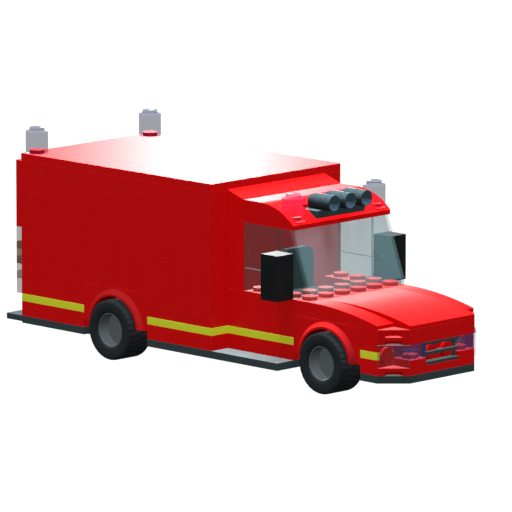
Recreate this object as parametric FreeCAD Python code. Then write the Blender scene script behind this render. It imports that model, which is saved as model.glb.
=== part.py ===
import FreeCAD, Part
import math
import os

os.makedirs("parts", exist_ok=True)

# Toy ambulance built of clamping bricks, eight studs wide, modelled in millimetres.
# X runs forward, Y to the vehicle's left and Z up. The wheels stand on Z = 0 and
# the origin lies under the middle of the whole model.

# The grid that every piece follows
STUD = 8.0                      # distance from stud to stud
PLATE = STUD / 3.0              # height of a plate, so a brick is as tall as it is long
STUD_R = STUD / 3.0             # radius of a stud
STUD_H = PLATE / 2.0            # height of a stud

# Overall layout, in studs along X from the front face of the box body
REAR_STEP_END = -13.0
BOX_REAR = -12.0
REAR_WHEEL = -6.0
FRONT_WHEEL = 6.0
NOSE = 10.0
CORNER_LAMP_PROUD = 0.66        # how far the corner lamps stand out of the slanted faces
NOSE_PROUD = CORNER_LAMP_PROUD / math.sqrt(2.0)
LENGTH = (NOSE - REAR_STEP_END) * STUD + NOSE_PROUD
BOX_FACE_X = LENGTH / 2.0 - NOSE_PROUD - NOSE * STUD

# Half widths
BOX_HALF = 4 * STUD
CAB_HALF = 3 * STUD
INNER_CAB_HALF = 2 * STUD

# Heights above the ground
BODY_Z = 3.5 * PLATE            # underside of the red bodywork
WHEEL_Z = 4.0 * PLATE           # wheel centre
STEP_THICK = 0.8 * PLATE

# Hollow undersides
SKIN = 1.0                      # thickness left above a hollow
RIB = 1.2
TUBE_R = 3.25
TUBE_BORE_R = 2.4

# Heights in plates above the underside of the bodywork
SILL = 8
GLASS_TOP = 17
ROOF_TOP = 22
VISOR_TOP = 20

# Wheels
AXLE_REAR_HALF = 22.0           # half width of the chassis plate between the wheels
AXLE_FRONT_HALF = 14.0
AXLE_PROUD = 0.5
TYRE_R = WHEEL_Z
TYRE_WIDTH = 11.0
TYRE_SHOULDER = 0.9             # bevel between the tyre's side and its tread
RIM_R = 6.1
RIM_LIP = 0.4
RIM_TAPER = 0.2                 # how much narrower the dish is at its floor
RIM_DISH = 4.5
RIM_INSET = 0.5
RIM_WALL = 1.2
HUB_R = 3.6
PIN_R = 2.4
PIN_PLAY = 0.05
PIN_END_PLAY = 0.3
WHEEL_PROUD = 3.1               # tyre face outside the wall beside it
ARCH_R = 11.9
ARCH_FLARE_R = 14.2
ARCH_PROUD = 1.333

# Roof lamps
LAMP_PLACES = (-8.0, 0.0, 8.0)
LAMP_R = 2.85
LAMP_BACK_R = 2.2
LAMP_BACK = 1.0                 # end of the lamps, ahead of the visor's seat
LAMP_LIP = 0.3
LAMP_DEPTH = 3.0
LINING = 0.25
DISC_R = 2.85
DISC_THICK = 1.1
DISC_PLAY = 0.06

# Grille, measured up from its foot
GRILLE_BARS = ((0.0, 1.1), (3.45, 4.55), (6.9, 8.0))
GRILLE_END = 1.5                # width of its end walls, and how far they stand behind the bars
GRILLE_PLAY = 0.03

# Panels and glass
GLASS_WALL = 1.3
PANEL = 2.4                     # rear door thickness
GAP = 0.3                       # play round the rear doors
HINGE_R = 1.2
HINGE_PIN_R = 0.6
HINGE_PIN_PLAY = 0.05
HINGE_Y = 22.0
DOOR_INSET = 1.5                # hinge axis behind the box's rear face
POST_EDGE_Y = 24.4
EAR_H = 3.0


def sx(studs):
    """X of a place given in studs ahead of the box body's front face."""
    return BOX_FACE_X + studs * STUD


def sz(plates):
    """Z of a height given in plates above the underside of the bodywork."""
    return BODY_Z + plates * PLATE


def vec(x, y, z):
    return FreeCAD.Vector(x, y, z)


def block(x_range, y_range, z_range):
    size = [high - low for low, high in (x_range, y_range, z_range)]
    return Part.makeBox(*size, vec(x_range[0], y_range[0], z_range[0]))


def along_y(radius, x, z, y_range):
    return Part.makeCylinder(radius, y_range[1] - y_range[0], vec(x, y_range[0], z), vec(0, 1, 0))


def along_x(radius, y, z, x_range):
    return Part.makeCylinder(radius, x_range[1] - x_range[0], vec(x_range[0], y, z), vec(1, 0, 0))


def upright(radius, x, y, z_range):
    return Part.makeCylinder(radius, z_range[1] - z_range[0], vec(x, y, z_range[0]))


def mirrored(shape):
    """The same piece on the other side of the vehicle."""
    return shape.mirror(vec(0, 0, 0), vec(0, 1, 0))


def fuse(first, *others):
    """One clean solid out of pieces that touch."""
    return first.fuse(list(others)).removeSplitter()


def export(name, *shapes):
    shape = shapes[0] if len(shapes) == 1 else Part.makeCompound(list(shapes))
    shape.exportStep("parts/%s.step" % name)
    return shape


def export_pair(name, right_shape):
    """A right-hand piece and its mirror image, as two nodes."""
    export(name + "_right", right_shape)
    export(name + "_left", mirrored(right_shape))


def export_both(name, *right_shapes):
    """Right-hand pieces and their mirror images, as one node."""
    export(name, *right_shapes, *[mirrored(shape) for shape in right_shapes])


def edges_of(start, legs):
    """Line and arc edges through (x, z) places; a leg that is a pair of places is an arc."""
    edges = []
    here = start
    for leg in legs:
        is_arc = isinstance(leg[0], tuple)
        end = leg[1] if is_arc else leg
        a, b = vec(here[0], 0, here[1]), vec(end[0], 0, end[1])
        if is_arc:
            middle = vec(leg[0][0], 0, leg[0][1])
            edges.append(Part.Arc(a, middle, b).toShape())
        else:
            edges.append(Part.LineSegment(a, b).toShape())
        here = end
    return edges


def side_cut(start, legs, y_range):
    """A solid whose outline is seen from the side, closed back to its first place."""
    face = Part.Face(Part.Wire(edges_of(start, list(legs) + [start])))
    face.translate(vec(0, y_range[0], 0))
    return face.extrude(vec(0, y_range[1] - y_range[0], 0))


def plan_cut(places, z_range):
    """A solid whose outline is seen from above."""
    ring = [vec(x, y, z_range[0]) for x, y in places]
    face = Part.Face(Part.makePolygon(ring + ring[:1]))
    return face.extrude(vec(0, 0, z_range[1] - z_range[0]))


def turned(profile, x, z):
    """A profile of (radius, y) places turned about a wheel's axle line."""
    ring = [vec(x + radius, y, z) for radius, y in profile]
    face = Part.Face(Part.makePolygon(ring + ring[:1]))
    return face.revolve(vec(x, 0, z), vec(0, 1, 0), 360)


def turned_forward(profile, y, z):
    """A profile of (x, radius) places turned about a line that points forward."""
    ring = [vec(x, y, z + radius) for x, radius in profile]
    face = Part.Face(Part.makePolygon(ring + ring[:1]))
    return face.revolve(vec(0, y, z), vec(1, 0, 0), 360)


def stud(x, y, z):
    return upright(STUD_R, x, y, (z, z + STUD_H))


def studs(x_places, y_places, z):
    return [stud(x, y, z) for x in x_places for y in y_places]


def crown(x_start, x_end, z_top, radius):
    """The arc leg of a surface that starts level at x_start and falls to x_end."""
    def fall(x):
        return radius - math.sqrt(radius ** 2 - (x - x_start) ** 2)
    middle = (x_start + x_end) / 2.0
    return ((middle, z_top - fall(middle)), (x_end, z_top - fall(x_end)))


# Chassis

def chassis_outline():
    """Corners of the long plate seen from above, with side steps and room for the wheels."""
    rear, front = AXLE_REAR_HALF, AXLE_FRONT_HALF
    half = [
        (sx(BOX_REAR), BOX_HALF), (sx(REAR_WHEEL - 2), BOX_HALF), (sx(REAR_WHEEL - 2), rear),
        (sx(REAR_WHEEL + 2), rear), (sx(REAR_WHEEL + 2), BOX_HALF), (sx(FRONT_WHEEL - 2), BOX_HALF),
        (sx(FRONT_WHEEL - 2), front), (sx(FRONT_WHEEL + 2), front), (sx(FRONT_WHEEL + 2), CAB_HALF),
        (sx(NOSE - 1), CAB_HALF), (sx(NOSE), INNER_CAB_HALF),
    ]
    return half + [(x, -y) for x, y in reversed(half)]


def chassis_plate():
    """Long dark plate with studs on top where they show and ribs and tubes below."""
    plate = plan_cut(chassis_outline(), (sz(-1), sz(0)))
    tops = []
    for n in range(-12, 4):
        if not REAR_WHEEL - 1 <= n <= REAR_WHEEL and n != -1:
            tops += studs([sx(n + 0.5)], floor_columns(n), sz(0))
    plate = fuse(plate, *tops)
    tubes = tube_places()
    hollow = underside_room(tubes)
    bores = [upright(TUBE_BORE_R, x, y, (sz(-1), sz(0) - SKIN)) for x, y in tubes]
    return plate.cut([hollow] + bores)


def floor_columns(n):
    """Y of the studs that show in a row: along the load floor's sides, or in the cab beside the seat."""
    if n < 0:
        return [-20.0, 20.0]
    if n in (1, 2):
        return [-12.0, 12.0]
    return [-12.0, -4.0, 4.0, 12.0]


def tube_places():
    """Places of the tubes under the plate's middle, where two ribs cross."""
    return [(sx(n), 0.0) for n in range(-10, 10, 2)]


def underside_room(tubes):
    """The hollow under the plate, parted by ribs on every second stud and by the tubes."""
    high = sz(0) - SKIN
    ring = [vec(x, y, sz(-1)) for x, y in chassis_outline()]
    floor = Part.Face(Part.makePolygon(ring + ring[:1])).makeOffset2D(-RIB)
    room = floor.extrude(vec(0, 0, high - sz(-1)))
    half = RIB / 2.0
    reach = (sx(BOX_REAR), sx(NOSE))
    ribs = []
    for n in range(-10, 10, 2):
        ribs.append(block((sx(n) - half, sx(n) + half), (-BOX_HALF, BOX_HALF), (sz(-1), high)))
    for y in (-INNER_CAB_HALF, 0.0, INNER_CAB_HALF):
        ribs.append(block(reach, (y - half, y + half), (sz(-1), high)))
    ribs += [upright(TUBE_R, x, y, (sz(-1), high)) for x, y in tubes]
    return room.cut(ribs)


def rear_step():
    """Step behind the doors, hollow below between ribs on every stud."""
    low, high = sz(0) - STEP_THICK, sz(0)
    back, front = sx(REAR_STEP_END), sx(BOX_REAR)
    step = block((back, front), (-BOX_HALF, BOX_HALF), (low, high))
    half = RIB / 2.0
    rooms = []
    for n in range(-4, 4):
        y = (n * STUD + half, (n + 1) * STUD - half)
        rooms.append(block((back + RIB, front - RIB), y, (low, high - SKIN)))
    return step.cut(rooms)


def axle_block(wheel, half_track, tyre_face):
    """Cross block on the chassis with a stub axle on each side."""
    x = sx(wheel)
    beam = block((x - STUD, x + STUD), (-half_track, half_track), (sz(0), sz(2)))
    pin_end = tyre_face - RIM_DISH - RIM_INSET - RIM_WALL - PIN_END_PLAY
    pins = along_y(PIN_R, x, WHEEL_Z, (-pin_end, pin_end))
    window = block((x - STUD, x + STUD), (-half_track, half_track), (sz(-1), sz(0)))
    return fuse(beam, pins.cut(window))


# Wheels

def tyre(wheel, face_y):
    """Black tyre with flat sides and bevelled shoulders; face_y is its outer side, on the right."""
    outer, inner = -face_y, -face_y + TYRE_WIDTH
    bevel = TYRE_SHOULDER
    profile = [
        (RIM_R, outer), (TYRE_R - bevel, outer), (TYRE_R, outer + bevel),
        (TYRE_R, inner - bevel), (TYRE_R - bevel, inner), (RIM_R, inner),
    ]
    return turned(profile, sx(wheel), WHEEL_Z)


def rim(wheel, face_y):
    """Grey wheel centre, dished outside, hollow inside round a hub that takes the stub axle."""
    x = sx(wheel)
    outer = -face_y + RIM_INSET
    inner = -face_y + TYRE_WIDTH - RIM_INSET
    floor = outer + RIM_DISH
    back = floor + RIM_WALL
    dish_r = RIM_R - RIM_LIP
    bore_r = PIN_R + PIN_PLAY
    profile = [
        (0, floor), (dish_r - RIM_TAPER, floor), (dish_r, outer), (RIM_R, outer), (RIM_R, inner),
        (dish_r, inner), (dish_r, back), (HUB_R, back), (HUB_R, inner), (bore_r, inner),
        (bore_r, back), (0, back),
    ]
    return turned(profile, x, WHEEL_Z)


def export_wheels():
    for end, wheel, wall in (("rear", REAR_WHEEL, BOX_HALF), ("front", FRONT_WHEEL, CAB_HALF)):
        face_y = wall + WHEEL_PROUD
        export_pair("tyre_" + end, tyre(wheel, face_y))
        export_pair("rim_" + end, rim(wheel, face_y))


def arch(wheel, wall_y):
    """Mudguard brick over a wheel with a flared lip, right-hand side."""
    x = sx(wheel)
    brick = block((x - 2 * STUD, x + 2 * STUD), (-wall_y, -wall_y + STUD), (sz(1), sz(6)))
    lip = [
        (ARCH_R, -wall_y + 0.5), (ARCH_R, -wall_y - ARCH_PROUD),
        (ARCH_R + 0.8, -wall_y - ARCH_PROUD), (ARCH_FLARE_R, -wall_y), (ARCH_FLARE_R, -wall_y + 0.5),
    ]
    ring = turned(lip, x, WHEEL_Z)
    low = block((x - 3 * STUD, x + 3 * STUD), (-wall_y - STUD, -wall_y + STUD), (-STUD, sz(1)))
    opening = along_y(ARCH_R, x, WHEEL_Z, (-wall_y - 1, -wall_y + STUD + 1))
    return fuse(brick.cut(opening), ring.cut(low))


# Box body

def box_side_lower():
    """Two bricks of the lowest course, before and behind the rear wheel, right-hand side."""
    y = (-BOX_HALF, -BOX_HALF + STUD)
    return [block((sx(a), sx(b)), y, (sz(0), sz(2))) for a, b in ((BOX_REAR, -8), (-4, 0))]


def box_stripes():
    """Bright yellow course of the right-hand side."""
    y = (-BOX_HALF, -BOX_HALF + STUD)
    return [block((sx(a), sx(b)), y, (sz(2), sz(3))) for a, b in ((BOX_REAR, -8), (-4, 0))]


def box_side_upper():
    y = (-BOX_HALF, -BOX_HALF + STUD)
    wall = block((sx(BOX_REAR), sx(0)), y, (sz(3), sz(ROOF_TOP - 1)))
    return wall.cut(block((sx(-8), sx(-4)), y, (sz(3), sz(6))))


def box_front_wall():
    return block((sx(-1), sx(0)), (-CAB_HALF, CAB_HALF), (sz(0), sz(ROOF_TOP - 1)))


def box_roof():
    roof = block((sx(BOX_REAR), sx(0)), (-BOX_HALF, BOX_HALF), (sz(ROOF_TOP - 1), sz(ROOF_TOP)))
    side = BOX_HALF - STUD / 2
    return fuse(roof, *studs([sx(BOX_REAR + 0.5)], [-side, side], sz(ROOF_TOP)))


def beacon(x, y, z):
    """Round see-through beacon, hollow from below, with a stud on top."""
    body = upright(STUD / 2, x, y, (z, z + 3 * PLATE))
    hollow = upright(STUD / 2 - GLASS_WALL, x, y, (z, z + 2.4 * PLATE))
    return fuse(body, stud(x, y, z + 3 * PLATE)).cut(hollow)


# Rear end

def hinge_x():
    return sx(BOX_REAR) - DOOR_INSET


def rear_post():
    """Corner strip behind the box's right wall, with two ears that carry the door's hinge pins."""
    back, wall = sx(BOX_REAR) - PLATE, sx(BOX_REAR)
    upper = block((back, wall), (-BOX_HALF, -POST_EDGE_Y), (sz(12), sz(ROOF_TOP - 1)))
    strip = block((back, wall), (-POST_EDGE_Y - 1.6, -POST_EDGE_Y), (sz(0), sz(12)))
    pieces = [upper, strip]
    for low in (sz(3), sz(16)):
        ear = upright(HINGE_R, hinge_x(), -HINGE_Y, (low, low + EAR_H))
        web = block((hinge_x() - 0.6, hinge_x() + 0.6), (-POST_EDGE_Y, -HINGE_Y), (low, low + EAR_H))
        pin = upright(HINGE_PIN_R, hinge_x(), -HINGE_Y, (low + EAR_H, low + EAR_H + 4.0))
        pieces += [ear, web, pin]
    return fuse(*pieces)


def rear_door():
    """Right-hand rear door with a window opening, a grab bar and hinge sockets."""
    low, high = sz(0) + GAP, sz(ROOF_TOP - 1) - GAP
    half = PANEL / 2
    panel = block((hinge_x() - half, hinge_x() + half), (-HINGE_Y, -GAP / 2), (low, high))
    barrel = upright(HINGE_R, hinge_x(), -HINGE_Y, (low, high))
    handle = block((hinge_x() - half - 1.0, hinge_x() - half), (-4.4, -2.6), (sz(7), sz(10)))
    door = fuse(panel, barrel, handle)
    window = block((hinge_x() - 2, hinge_x() + 2), (-18.0, -5.0), (sz(11), sz(18)))
    cuts = [window]
    for ear in (sz(3), sz(16)):
        bite = (-POST_EDGE_Y, -HINGE_Y + HINGE_R + GAP)
        room = (ear - GAP, ear + EAR_H + GAP)
        cuts.append(block((hinge_x() - 2, hinge_x() + 2), bite, room))
        top = ear + EAR_H + 4.0 + GAP
        cuts.append(upright(HINGE_PIN_R + HINGE_PIN_PLAY, hinge_x(), -HINGE_Y, (ear, top)))
    return door.cut(cuts)


def door_glass():
    return block((hinge_x() - 0.6, hinge_x() + 0.6), (-18.0, -5.0), (sz(11), sz(18)))


def tail_lamp(low, high):
    back, wall = sx(BOX_REAR) - PLATE, sx(BOX_REAR)
    return block((back, wall), (-BOX_HALF, -POST_EDGE_Y - 1.6), (sz(low), sz(high)))


# Cab

def cab_side_lower():
    y = (-CAB_HALF, -INNER_CAB_HALF)
    return [block((sx(a), sx(b)), y, (sz(0), sz(2))) for a, b in ((0, 4), (8, 9))]


def cab_stripes():
    y = (-CAB_HALF, -INNER_CAB_HALF)
    return [block((sx(a), sx(b)), y, (sz(2), sz(3))) for a, b in ((0, 4), (8, 9))]


def cab_side_upper():
    y = (-CAB_HALF, -INNER_CAB_HALF)
    door = block((sx(0), sx(4)), y, (sz(3), sz(SILL)))
    shoulder = block((sx(4), sx(5)), y, (sz(6), sz(SILL)))
    tops = studs([sx(n) for n in (1.5, 2.5, 3.5, 4.5)], [-CAB_HALF + STUD / 2], sz(SILL))
    return fuse(door, shoulder, *tops)


def wing():
    """Front wing beside the bonnet, falling to the nose, right-hand side."""
    y = (-CAB_HALF, -INNER_CAB_HALF)
    top = crown(sx(5), sx(9), sz(SILL), 130.0)
    shell = side_cut((sx(5), sz(6)), [(sx(5), sz(SILL)), top, (sx(9), sz(6))], y)
    return fuse(shell, block((sx(8), sx(9)), y, (sz(3), sz(6))))


def bonnet():
    y = (-INNER_CAB_HALF, INNER_CAB_HALF)
    top = crown(sx(6), sx(NOSE), sz(SILL), 130.0)
    legs = [(sx(5), sz(SILL)), (sx(6), sz(SILL)), top, (sx(NOSE), sz(6))]
    return side_cut((sx(5), sz(6)), legs, y)


def dash():
    """Bulkhead in front of the feet with a studded top that carries the windscreen."""
    y = (-INNER_CAB_HALF, INNER_CAB_HALF)
    top = block((sx(3), sx(5)), y, (sz(SILL - 1), sz(SILL)))
    wall = block((sx(4), sx(5)), y, (sz(0), sz(SILL - 1)))
    rows = studs([sx(3.5), sx(4.5)], [-12.0, -4.0, 4.0, 12.0], sz(SILL))
    return fuse(top, wall, *rows)


def b_pillar():
    return block((sx(0), sx(1)), (-CAB_HALF, -INNER_CAB_HALF), (sz(SILL), sz(GLASS_TOP)))


def side_pane(low, high):
    return block((sx(1), sx(3)), (-CAB_HALF, -CAB_HALF + GLASS_WALL), (sz(low), sz(high)))


def windscreen():
    """Leaning windscreen with side cheeks, hollow, on a slab with holes for the studs."""
    y = (-CAB_HALF, CAB_HALF)
    legs = [(sx(5), sz(SILL)), (sx(5), sz(9)), (sx(4), sz(GLASS_TOP)), (sx(3), sz(GLASS_TOP))]
    shell = side_cut((sx(3), sz(SILL)), legs, y)
    corners = [edge for edge in shell.Edges if is_front_corner(edge)]
    shell = shell.makeFillet(1.8, corners)
    inner_y = (-CAB_HALF + GLASS_WALL, CAB_HALF - GLASS_WALL)
    lean = GLASS_WALL * 1.05
    legs = [
        (sx(5) - GLASS_WALL, sz(SILL) - 1), (sx(5) - GLASS_WALL, sz(9)),
        (sx(4) - lean, sz(GLASS_TOP)), (sx(4) - lean, sz(GLASS_TOP) + 1), (sx(3) - 1, sz(GLASS_TOP) + 1),
    ]
    hollow = side_cut((sx(3) - 1, sz(SILL) - 1), legs, inner_y)
    slab = block((sx(3), sx(4)), inner_y, (sz(SILL), sz(SILL) + STUD_H))
    holes = []
    for y_stud in (-20.0, -12.0, -4.0, 4.0, 12.0, 20.0):
        holes.append(upright(STUD_R, sx(3.5), y_stud, (sz(SILL) - 1, sz(9))))
    glass = fuse(shell.cut(hollow), slab).cut(holes)
    pegs = [mirror_peg(), mirrored(mirror_peg())]
    return glass.cut(pegs)


def is_front_corner(edge):
    """True for the leaning and the upright edges at the front corners of the windscreen."""
    box = edge.BoundBox
    at_side = abs(abs(box.YMin) - CAB_HALF) < 0.01 and box.YLength < 0.01
    return at_side and box.XMin > sx(4) - 0.01 and box.ZLength > 1.0


def mirror_peg():
    return along_y(1.5, sx(3.5), sz(11), (-CAB_HALF, -CAB_HALF + GLASS_WALL))


def door_mirror():
    """Tall black mirror beside the windscreen, right-hand side."""
    y = (-BOX_HALF, -CAB_HALF)
    return fuse(block((sx(3), sx(4)), y, (sz(SILL), sz(14))), mirror_peg())


def seat_base():
    return block((sx(1), sx(3)), (-STUD, STUD), (sz(0), sz(6)))


def seat():
    """Bucket seat: a cushion plate and a back with round top corners."""
    cushion = block((sx(1), sx(3)), (-STUD, STUD), (sz(6), sz(7.2)))
    back_z = (sz(6), sz(12.66))
    back = block((sx(1), sx(1) + 2.5), (-STUD, STUD), back_z)
    tops = [edge for edge in back.Edges if edge.BoundBox.XLength > 2 and edge.BoundBox.ZMin > back_z[1] - 0.1]
    return fuse(cushion, back.makeFillet(3.5, tops))


# Nose

def corner_wedge(low, high, proud=0.0):
    """Three-cornered piece between the wing and the nose, right-hand side."""
    rear, front = sx(NOSE - 1), sx(NOSE)
    outer, inner = -CAB_HALF, -INNER_CAB_HALF
    places = [(rear, inner), (rear, outer), (front, inner)]
    if proud:
        out = proud / math.sqrt(2.0)
        places[2:2] = [(rear + out, outer - out), (front + out, inner - out)]
    return plan_cut(places, (sz(low), sz(high)))


def stud_notch(low, high):
    """Round bite in the slanted face that clears a stud below."""
    x, y = sx(NOSE - 0.5), -INNER_CAB_HALF - STUD / 2
    return upright(STUD_R + 0.3, x, y, (sz(low), sz(high)))


def corner_upper():
    """Two stacked cut-corner plates with a bite over each stud."""
    plates = corner_wedge(4, 6)
    ledges = [stud_notch(4, 4.5), stud_notch(5, 5.5)]
    return plates.cut(ledges)


def corner_lower():
    return corner_wedge(0, 1).cut(stud_notch(0, 0.5))


def corner_disc(play=0.0):
    x = sx(NOSE - 1)
    return along_x(DISC_R + play, -20.0, sz(2.5), (x, x + DISC_THICK + play))


def corner_lamp():
    """Clear corner lamp with room for the disc behind it, right-hand side."""
    return corner_wedge(1, 4, proud=CORNER_LAMP_PROUD).cut(corner_disc(DISC_PLAY))


def bumper():
    """Lowest course of the nose with a stud under each blue lamp and a seat for the grille."""
    base = block((sx(NOSE - 1), sx(NOSE)), (-INNER_CAB_HALF, INNER_CAB_HALF), (sz(0), sz(2)))
    backing = block((sx(NOSE - 1), grille_back()), (-STUD, STUD), (sz(2), sz(4)))
    room = block((grille_back(), sx(NOSE) + 1), (-STUD, STUD), (sz(1), sz(4)))
    tops = studs([sx(NOSE - 0.5)], [-12.0, 12.0], sz(2))
    return fuse(fuse(base, backing).cut(room), *tops, *grille_studs())


def grille_back():
    return sx(NOSE) - PLATE


def grille_studs(play=0.0):
    """The two studs behind the grille, pointing forward."""
    reach = (grille_back(), grille_back() + STUD_H + play)
    return [along_x(STUD_R + play, y, sz(2.5), reach) for y in (-4.0, 4.0)]


def grille():
    """Three bars between two end walls that stand back, with bites that clear the studs."""
    back, front = grille_back(), sx(NOSE)
    foot = sz(1)
    bars = [block((back, front), (-STUD, STUD), (foot + low, foot + high)) for low, high in GRILLE_BARS]
    ends = []
    for y in (-STUD, STUD - GRILLE_END):
        ends.append(block((back, front - GRILLE_END), (y, y + GRILLE_END), (foot, sz(4))))
    return fuse(*bars, *ends).cut(grille_studs(GRILLE_PLAY))


def front_panel():
    return block((sx(NOSE - 1), sx(NOSE)), (-INNER_CAB_HALF, INNER_CAB_HALF), (sz(4), sz(6)))


def blue_lamp():
    """See-through blue lamp over a stud, right-hand side."""
    lamp = block((sx(NOSE - 1), sx(NOSE)), (-INNER_CAB_HALF, -STUD), (sz(2), sz(4)))
    return lamp.cut(upright(STUD_R + 0.3, sx(NOSE - 0.5), -12.0, (sz(2), sz(3))))


# Cab roof and lamps

def roof_ramp():
    """Course over the pillars that slopes up to the box."""
    y = (-CAB_HALF, CAB_HALF)
    legs = [(sx(0), sz(ROOF_TOP - 1)), (sx(1), sz(VISOR_TOP)), (sx(1), sz(GLASS_TOP))]
    return side_cut((sx(0), sz(GLASS_TOP)), legs, y)


def visor():
    """Curved front of the cab roof, with seats for two beacons and the lamp bar."""
    y = (-CAB_HALF, CAB_HALF)
    top = crown(sx(2), sx(4), sz(VISOR_TOP), 23.3)
    legs = [(sx(1), sz(VISOR_TOP)), (sx(2), sz(VISOR_TOP)), top, (sx(4), sz(GLASS_TOP))]
    shell = side_cut((sx(1), sz(GLASS_TOP)), legs, y)
    seats = [upright(STUD / 2 + 0.15, sx(3.5), side, (sz(18), sz(21))) for side in (-20.0, 20.0)]
    seats.append(block((sx(3), sx(4) + 1), (-12.0, 12.0), (sz(18), sz(21))))
    posts = [stud(sx(3.5), side, sz(18)) for side in (-20.0, 20.0)]
    return fuse(shell.cut(seats), *posts)


def lamp_face():
    return sx(4.5)


def bowl_line(wall):
    """Places (x, radius) of a lamp's bowl from its lip to its bottom, set in by wall."""
    face = lamp_face()
    return [
        (face - LAMP_LIP, 2.45 - wall), (face - 1.7, 1.95 - wall),
        (face - LAMP_DEPTH + wall, 0.8 - wall / 2), (face - LAMP_DEPTH + wall, 0),
    ]


def lamp(y):
    """Round lamp with a blunt back and an open bowl, pointing forward."""
    back, face = sx(3) + LAMP_BACK, lamp_face()
    housing = [(back, 0), (back, LAMP_BACK_R), (back + 2.5, LAMP_R), (face, LAMP_R), (face, 2.5)]
    return turned_forward(housing + bowl_line(0.0), y, sz(20))


def lamp_bar():
    """Base plate with three lamps on feet."""
    base = block((sx(3), sx(4) - 0.5), (-12.0, 12.0), (sz(18), sz(19)))
    lamps = []
    for y in LAMP_PLACES:
        foot = block((sx(3) + LAMP_BACK, sx(4) - 0.5), (y - 1.5, y + 1.5), (sz(19), sz(20)))
        lamps += [foot, lamp(y)]
    return fuse(base, *lamps)


def reflector(y):
    """Thin bright lining in the lower half of a lamp's bowl."""
    lining = turned_forward(bowl_line(0.0) + bowl_line(LINING)[::-1], y, sz(20))
    lower = block((sx(3), sx(5)), (y - STUD / 2, y + STUD / 2), (sz(18), sz(20)))
    return lining.common(lower)


def build_chassis():
    export("chassis_plate", chassis_plate())
    export("rear_step", rear_step())
    export("axle_block_rear", axle_block(REAR_WHEEL, AXLE_REAR_HALF + AXLE_PROUD, BOX_HALF + WHEEL_PROUD))
    export("axle_block_front", axle_block(FRONT_WHEEL, AXLE_FRONT_HALF + AXLE_PROUD, CAB_HALF + WHEEL_PROUD))
    export_both("arches_rear", arch(REAR_WHEEL, BOX_HALF))
    export_both("arches_front", arch(FRONT_WHEEL, CAB_HALF))
    export_wheels()


def build_box():
    export_both("box_side_lower", *box_side_lower())
    export_both("box_stripes", *box_stripes())
    export_pair("box_side_upper", box_side_upper())
    export("box_front_wall", box_front_wall())
    export("box_roof", box_roof())
    export_both("beacons_rear", beacon(sx(BOX_REAR + 0.5), -28.0, sz(ROOF_TOP)))
    export_pair("rear_post", rear_post())
    export_pair("rear_door", rear_door())
    export_pair("door_glass", door_glass())
    export_both("tail_lamps_clear", tail_lamp(10, 12), tail_lamp(6, 7), tail_lamp(3, 5))
    export_both("tail_lamps_amber", tail_lamp(9, 10), tail_lamp(7, 8))
    export_both("tail_lamps_smoke", tail_lamp(8, 9), tail_lamp(5, 6))


def build_cab():
    export_both("cab_side_lower", *cab_side_lower())
    export_both("cab_stripes", *cab_stripes())
    export_pair("cab_side_upper", cab_side_upper())
    export_pair("wing", wing())
    export("bonnet", bonnet())
    export("dash", dash())
    export_both("b_pillars", b_pillar())
    export_both("side_panes_lower", side_pane(SILL, 11))
    export_both("side_panes_upper", side_pane(11, GLASS_TOP))
    export("windscreen", windscreen())
    export_both("door_mirrors", door_mirror())
    export("seat_base", seat_base())
    export("seat", seat())


def build_nose():
    export_both("corner_upper", corner_upper())
    export_both("corner_lower", corner_lower())
    export_both("corner_discs", corner_disc())
    export_both("corner_lamps", corner_lamp())
    export("bumper", bumper())
    export("grille", grille())
    export("front_panel", front_panel())
    export_both("blue_lamps", blue_lamp())


def build_cab_roof():
    export("roof_ramp", roof_ramp())
    export("visor", visor())
    export("lamp_bar", lamp_bar())
    export("lamp_reflectors", *[reflector(y) for y in LAMP_PLACES])
    export_both("beacons_front", beacon(sx(3.5), -20.0, sz(18)))


build_chassis()
build_box()
build_cab()
build_nose()
build_cab_roof()
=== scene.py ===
"""Studio scene of a toy ambulance made of clamping bricks.

The moulded bricks come from the frame and are dressed here. The tyres, rims, beacons and
lamp linings are built here, with finer curves. Lengths are in metres: x points ahead, y to
the left and z up.
"""

import logging
import math
from collections.abc import Iterator
from dataclasses import dataclass
from enum import Enum

import bmesh
import bpy
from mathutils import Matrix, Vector


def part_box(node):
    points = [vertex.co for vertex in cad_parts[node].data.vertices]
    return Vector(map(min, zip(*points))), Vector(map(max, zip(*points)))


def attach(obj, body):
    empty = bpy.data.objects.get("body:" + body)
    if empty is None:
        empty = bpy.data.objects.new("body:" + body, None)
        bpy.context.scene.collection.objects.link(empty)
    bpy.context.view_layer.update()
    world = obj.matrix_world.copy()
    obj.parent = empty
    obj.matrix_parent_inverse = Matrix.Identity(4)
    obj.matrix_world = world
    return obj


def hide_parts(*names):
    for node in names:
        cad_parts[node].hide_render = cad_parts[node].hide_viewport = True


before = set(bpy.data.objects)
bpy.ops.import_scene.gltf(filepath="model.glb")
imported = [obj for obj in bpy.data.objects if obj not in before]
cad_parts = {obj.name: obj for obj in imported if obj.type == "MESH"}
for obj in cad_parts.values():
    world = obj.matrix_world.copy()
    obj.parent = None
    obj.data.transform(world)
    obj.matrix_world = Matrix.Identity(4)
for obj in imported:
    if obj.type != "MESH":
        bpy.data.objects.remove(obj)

LOG = logging.getLogger("ambulance")
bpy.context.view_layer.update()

MM = 0.001
STUD_PITCH = 8.0 * MM
PLATE = STUD_PITCH / 3.0
FINE_EDGE = 0.05 * MM

# The finishes: waves per metre in the polish, the noise's finer layers and the least roughness.
POLISH_SCALE = 160.0
NOISE_DETAIL = 3.0
LEAST_ROUGHNESS = 0.02

# A face looks along a line where more than the first share of its normal does, and is square
# to that line below the second.
ALONG_SHARE = 0.9
ACROSS_SHARE = 0.02

# Corners this close are one, faces this even are one, and edges this sharp get rounded, with
# so many faces across. The weight is how much a corner's shading leans on its biggest face.
WELD_GAP = 1e-6
EVEN_DEGREES = 0.3
HARD_EDGE_DEGREES = 28.0
EDGE_FACES = 2
BIG_FACE_WEIGHT = 80

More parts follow.
